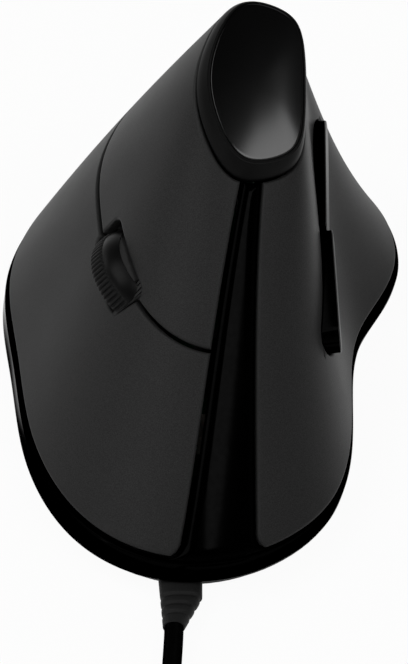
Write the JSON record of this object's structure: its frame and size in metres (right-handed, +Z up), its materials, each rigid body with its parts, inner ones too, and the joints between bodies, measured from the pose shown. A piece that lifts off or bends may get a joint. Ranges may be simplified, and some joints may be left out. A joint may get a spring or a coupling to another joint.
{
  "type": "vertical ergonomic mouse",
  "caption": "Wired vertical mouse for the right hand: leaning shell on a gloss skirt and spine, main buttons split by a scroll wheel, side buttons, oval crest badge and a stowed cord with plug.",
  "frame": {"origin": "centre of the footprint of the mouse without its cord, on the desk", "axes": "+X towards the thumb side, +Y towards the back (the cord leaves at -Y), +Z up from the desk"},
  "size_m": [0.0888, 0.2192, 0.0769],
  "materials": {
    "base_black": "fine texture",
    "gloss_black": "polished",
    "soft_touch": "soft-touch matte",
    "bezel_satin": "satin",
    "badge_gloss": "polished",
    "wheel_rubber": "ribbed",
    "inner_grey": "moulded",
    "steel": "plain",
    "encoder_green": "moulded",
    "board_green": "solder mask",
    "chip_black": "moulded",
    "plunger_white": "moulded",
    "plunger_amber": "moulded",
    "lens_clear": "clear",
    "light_red": "clear tinted",
    "foot_grey": "slick",
    "header_ivory": "moulded",
    "cord_black": "smooth jacket",
    "relief_rubber": "matte",
    "tie_black": "strap",
    "plug_metal": "bright",
    "tongue_white": "moulded"
  },
  "bodies": {
    "case": {"base_plate": "base_black", "gloss_frame": "gloss_black", "hand_cover": "soft_touch", "badge_bezel": "bezel_satin", "badge_window": "badge_gloss", "finger_bracket": "inner_grey", "finger_board": "board_green", "left_switch": "chip_black", "right_switch": "chip_black", "middle_switch": "chip_black", "thumb_board": "board_green", "back_switch": "chip_black", "forward_switch": "chip_black", "main_board": "board_green", "controller_chip": "chip_black", "sensor_chip": "chip_black", "sensor_lens": "lens_clear", "sensor_light": "light_red", "board_screws": "steel", "case_screws": "steel", "glide_feet": "foot_grey", "cable_header": "header_ivory", "inner_lead": "cord_black", "strain_relief": "relief_rubber", "cord_lead": "cord_black", "cord_coil": "cord_black", "cord_tail": "cord_black", "cord_tie": "tie_black", "plug_grip": "relief_rubber", "plug_shell": "plug_metal", "plug_tongue": "tongue_white"},
    "left_button": {"left_button": "soft_touch"},
    "right_button": {"right_button": "soft_touch"},
    "wheel_carrier": {"wheel_carrier": "inner_grey", "wheel_encoder": "encoder_green"},
    "wheel": {"wheel_tyre": "wheel_rubber", "wheel_hub": "inner_grey", "wheel_axle": "steel"},
    "back_button": {"back_button": "gloss_black"},
    "forward_button": {"forward_button": "gloss_black"},
    "left_plunger": {"left_plunger": "plunger_white"},
    "right_plunger": {"right_plunger": "plunger_white"},
    "middle_plunger": {"middle_plunger": "plunger_amber"},
    "back_plunger": {"back_plunger": "plunger_amber"},
    "forward_plunger": {"forward_plunger": "plunger_amber"}
  },
  "joints": [
    {"name": "left_button_press", "type": "hinge", "parent": "case", "child": "left_button", "pos_m": [-0.00309, 0.03036, 0.05785], "axis": [0.8132, 0.1506, 0.5622], "range_deg": [0, 0.5], "stiffness_Nm_per_rad": 0.5, "springref_deg": -1.72},
    {"name": "right_button_press", "type": "hinge", "parent": "case", "child": "right_button", "pos_m": [-0.01658, 0.04263, 0.02823], "axis": [0.8132, 0.1506, 0.5622], "range_deg": [0, 0.36], "stiffness_Nm_per_rad": 0.6, "springref_deg": -1.72},
    {"name": "wheel_press", "type": "slide", "parent": "case", "child": "wheel_carrier", "axis": [0.7276, 0.2664, -0.6322], "range_m": [0, 0.00045], "stiffness_N_per_m": 1500, "springref_m": -0.0005},
    {"name": "wheel_spin", "type": "hinge", "parent": "wheel_carrier", "child": "wheel", "pos_m": [-0.01095, -0.00749, 0.03399], "axis": [0.6485, 0.0336, 0.7605], "continuous": true},
    {"name": "back_button_press", "type": "slide", "parent": "case", "child": "back_button", "axis": [-0.9754, 0.0626, -0.2115], "range_m": [0, 0.0004], "stiffness_N_per_m": 1500, "springref_m": -0.0005},
    {"name": "forward_button_press", "type": "slide", "parent": "case", "child": "forward_button", "axis": [-0.9754, 0.0626, -0.2115], "range_m": [0, 0.0004], "stiffness_N_per_m": 1500, "springref_m": -0.0005},
    {"name": "left_plunger_slide", "type": "slide", "parent": "case", "child": "left_plunger", "axis": [0.7276, 0.2664, -0.6322], "range_m": [0, 0.00031]},
    {"name": "right_plunger_slide", "type": "slide", "parent": "case", "child": "right_plunger", "axis": [0.7276, 0.2664, -0.6322], "range_m": [0, 0.00032]},
    {"name": "middle_plunger_slide", "type": "slide", "parent": "case", "child": "middle_plunger", "axis": [0.7276, 0.2664, -0.6322], "range_m": [0, 0.00045]},
    {"name": "back_plunger_slide", "type": "slide", "parent": "case", "child": "back_plunger", "axis": [-0.9754, 0.0626, -0.2115], "range_m": [0, 0.0004]},
    {"name": "forward_plunger_slide", "type": "slide", "parent": "case", "child": "forward_plunger", "axis": [-0.9754, 0.0626, -0.2115], "range_m": [0, 0.0004]}
  ],
  "couplings": [
    {"joint": "left_plunger_slide", "follows": "left_button_press", "m_per_rad": 0.0338},
    {"joint": "right_plunger_slide", "follows": "right_button_press", "m_per_rad": 0.0444},
    {"joint": "middle_plunger_slide", "follows": "wheel_press", "ratio": 1},
    {"joint": "back_plunger_slide", "follows": "back_button_press", "ratio": 1},
    {"joint": "forward_plunger_slide", "follows": "forward_button_press", "ratio": 1}
  ]
}
